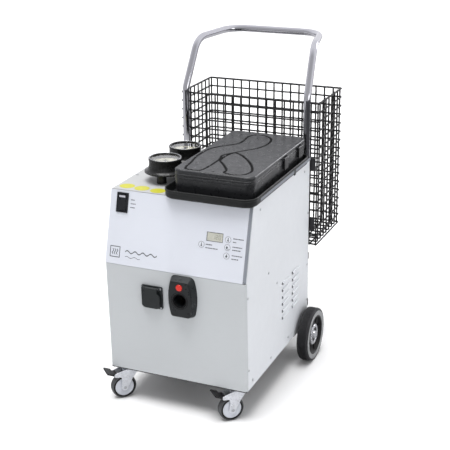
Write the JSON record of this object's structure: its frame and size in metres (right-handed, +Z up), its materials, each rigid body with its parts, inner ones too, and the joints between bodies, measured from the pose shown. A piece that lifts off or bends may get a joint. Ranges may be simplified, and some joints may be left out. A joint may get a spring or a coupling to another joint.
{
  "type": "steam cleaner",
  "caption": "Wheeled commercial steam and vacuum cleaner: sheet-metal cabinet with sloping control fascia, push handle, wire basket, accessory case, dial gauges and hose outlet.",
  "frame": {"origin": "on the floor, under the middle of the whole machine's width and length", "axes": "+Z up, -Y towards the side with the controls and the hose outlet, +X towards the side of the accessory case"},
  "size_m": [0.558, 0.8824, 1.0565],
  "materials": {
    "steel_dark": "satin",
    "panel_grey": "satin powder coat",
    "fascia_white": "satin",
    "panel_light": "satin powder coat",
    "screw_steel": "machined",
    "chrome_tube": "polished",
    "black_metal": "satin",
    "basket_black": "coated wire",
    "tray_black": "moulded",
    "gauge_black": "moulded",
    "dial_cream": "matt",
    "gauge_glass": "polished",
    "switch_black": "moulded",
    "display_grey": "smoked window",
    "board_green": "laminate",
    "socket_black": "moulded",
    "outlet_black": "moulded",
    "zinc": "zinc plated",
    "boiler_steel": "welded",
    "tank_white": "blow moulded",
    "brass_parts": "machined",
    "motor_black": "moulded",
    "needle_black": "matt",
    "key_white": "printed",
    "button_red": "moulded",
    "case_black": "moulded",
    "latch_black": "moulded",
    "tyre_rubber": "ribbed",
    "rim_black": "moulded",
    "cap_silver": "satin",
    "caster_white": "moulded",
    "caster_grey": "smooth",
    "pedal_black": "moulded"
  },
  "bodies": {
    "cabinet": {"base_pan": "steel_dark", "front_panel": "panel_grey", "control_fascia": "fascia_white", "side_panel_left": "panel_light", "side_panel_right": "panel_light", "top_panel": "panel_light", "rear_panel": "panel_light", "panel_screws": "screw_steel", "rear_axle": "screw_steel", "axle_hangers": "steel_dark", "push_handle": "chrome_tube", "handle_clamps": "black_metal", "wire_basket": "basket_black", "basket_brackets": "black_metal", "case_tray": "tray_black", "gauge_cases": "gauge_black", "gauge_dials": "dial_cream", "gauge_glasses": "gauge_glass", "switch_frame": "switch_black", "display_module": "display_grey", "control_board": "board_green", "socket_frame": "socket_black", "socket_hinge_pin": "screw_steel", "outlet_housing": "outlet_black", "hose_port": "outlet_black", "caster_plates": "zinc", "boiler": "boiler_steel", "heating_element": "boiler_steel", "water_tank": "tank_white", "feed_pump": "brass_parts", "vacuum_motor": "motor_black", "steam_valve": "brass_parts"},
    "needle_front": {"gauge_needle_front": "needle_black"},
    "needle_rear": {"gauge_needle_rear": "needle_black"},
    "rocker": {"switch_rocker": "switch_black"},
    "key_temperature": {"key_temperature": "key_white"},
    "key_steam": {"key_steam": "key_white"},
    "key_vacuum": {"key_vacuum": "key_white"},
    "key_refill": {"key_refill": "key_white"},
    "socket_lid": {"socket_lid": "socket_black"},
    "release_button": {"release_button": "button_red"},
    "case": {"case_base": "case_black", "case_hinge_pins": "screw_steel"},
    "case_lid": {"case_lid": "case_black"},
    "latch_front": {"case_latch_front": "latch_black"},
    "latch_rear": {"case_latch_rear": "latch_black"},
    "rear_wheel_left": {"rear_tyre_left": "tyre_rubber", "rear_rim_left": "rim_black", "hub_cap_left": "cap_silver"},
    "caster_fork_left": {"caster_fork_left": "zinc"},
    "caster_wheel_left": {"caster_hub_left": "caster_white", "caster_tyre_left": "caster_grey"},
    "brake_pedal_left": {"brake_pedal_left": "pedal_black"},
    "rear_wheel_right": {"rear_tyre_right": "tyre_rubber", "rear_rim_right": "rim_black", "hub_cap_right": "cap_silver"},
    "caster_fork_right": {"caster_fork_right": "zinc"},
    "caster_wheel_right": {"caster_hub_right": "caster_white", "caster_tyre_right": "caster_grey"},
    "brake_pedal_right": {"brake_pedal_right": "pedal_black"}
  },
  "joints": [
    {"name": "rear_wheel_left_spin", "type": "hinge", "parent": "cabinet", "child": "rear_wheel_left", "pos_m": [-0.2595, 0.08978, 0.09], "axis": [1, 0, 0], "continuous": true},
    {"name": "rear_wheel_right_spin", "type": "hinge", "parent": "cabinet", "child": "rear_wheel_right", "pos_m": [0.2595, 0.08978, 0.09], "axis": [1, 0, 0], "continuous": true},
    {"name": "caster_left_swivel", "type": "hinge", "parent": "cabinet", "child": "caster_fork_left", "pos_m": [-0.184, -0.36622, 0.1], "axis": [0, 0, 1], "continuous": true},
    {"name": "caster_left_spin", "type": "hinge", "parent": "caster_fork_left", "child": "caster_wheel_left", "pos_m": [-0.20097, -0.38319, 0.04], "axis": [-0.7071, 0.7071, 0], "continuous": true},
    {"name": "brake_left_pedal", "type": "hinge", "parent": "caster_fork_left", "child": "brake_pedal_left", "pos_m": [-0.21935, -0.40158, 0.0845], "axis": [0.7071, -0.7071, 0], "range_deg": [0, 14]},
    {"name": "caster_right_swivel", "type": "hinge", "parent": "cabinet", "child": "caster_fork_right", "pos_m": [0.184, -0.36622, 0.1], "axis": [0, 0, 1], "continuous": true},
    {"name": "caster_right_spin", "type": "hinge", "parent": "caster_fork_right", "child": "caster_wheel_right", "pos_m": [0.16703, -0.38319, 0.04], "axis": [-0.7071, 0.7071, 0], "continuous": true},
    {"name": "brake_right_pedal", "type": "hinge", "parent": "caster_fork_right", "child": "brake_pedal_right", "pos_m": [0.14864, -0.40158, 0.0845], "axis": [0.7071, -0.7071, 0], "range_deg": [0, 14]},
    {"name": "switch_tip", "type": "hinge", "parent": "cabinet", "child": "rocker", "pos_m": [-0.1875, -0.35895, 0.64586], "axis": [1, 0, 0], "range_deg": [-8, 8]},
    {"name": "key_temperature_press", "type": "slide", "parent": "cabinet", "child": "key_temperature", "axis": [0, 0.9662, -0.2577], "range_m": [0, 0.0006], "stiffness_N_per_m": 2500},
    {"name": "key_steam_press", "type": "slide", "parent": "cabinet", "child": "key_steam", "axis": [0, 0.9662, -0.2577], "range_m": [0, 0.0006], "stiffness_N_per_m": 2500},
    {"name": "key_vacuum_press", "type": "slide", "parent": "cabinet", "child": "key_vacuum", "axis": [0, 0.9662, -0.2577], "range_m": [0, 0.0006], "stiffness_N_per_m": 2500},
    {"name": "key_refill_press", "type": "slide", "parent": "cabinet", "child": "key_refill", "axis": [0, 0.9662, -0.2577], "range_m": [0, 0.0006], "stiffness_N_per_m": 2500},
    {"name": "socket_lid_swing", "type": "hinge", "parent": "cabinet", "child": "socket_lid", "pos_m": [-0.073, -0.42062, 0.4087], "axis": [-1, 0, 0], "range_deg": [0, 115]},
    {"name": "release_button_press", "type": "slide", "parent": "cabinet", "child": "release_button", "axis": [0, 0.9996, 0.0284], "range_m": [0, 0.003], "stiffness_N_per_m": 1500},
    {"name": "needle_front_turn", "type": "hinge", "parent": "cabinet", "child": "needle_front", "pos_m": [-0.113, -0.22122, 0.746], "axis": [0, 0, -1], "range_deg": [0, 270]},
    {"name": "needle_rear_turn", "type": "hinge", "parent": "cabinet", "child": "needle_rear", "pos_m": [-0.113, -0.07822, 0.746], "axis": [0, 0, -1], "range_deg": [0, 250]},
    {"name": "case_lift", "type": "slide", "parent": "cabinet", "child": "case", "axis": [0, 0, 1], "range_m": [0, 0.2]},
    {"name": "case_lid_swing", "type": "hinge", "parent": "case", "child": "case_lid", "pos_m": [-0.0305, -0.11472, 0.742], "axis": [0, -1, 0], "range_deg": [0, 92]},
    {"name": "latch_front_swing", "type": "hinge", "parent": "case_lid", "child": "latch_front", "pos_m": [0.23, -0.08522, 0.754], "axis": [0, -1, 0], "range_deg": [0, 75]},
    {"name": "latch_rear_swing", "type": "hinge", "parent": "case_lid", "child": "latch_rear", "pos_m": [0.23, 0.04478, 0.754], "axis": [0, -1, 0], "range_deg": [0, 75]}
  ]
}
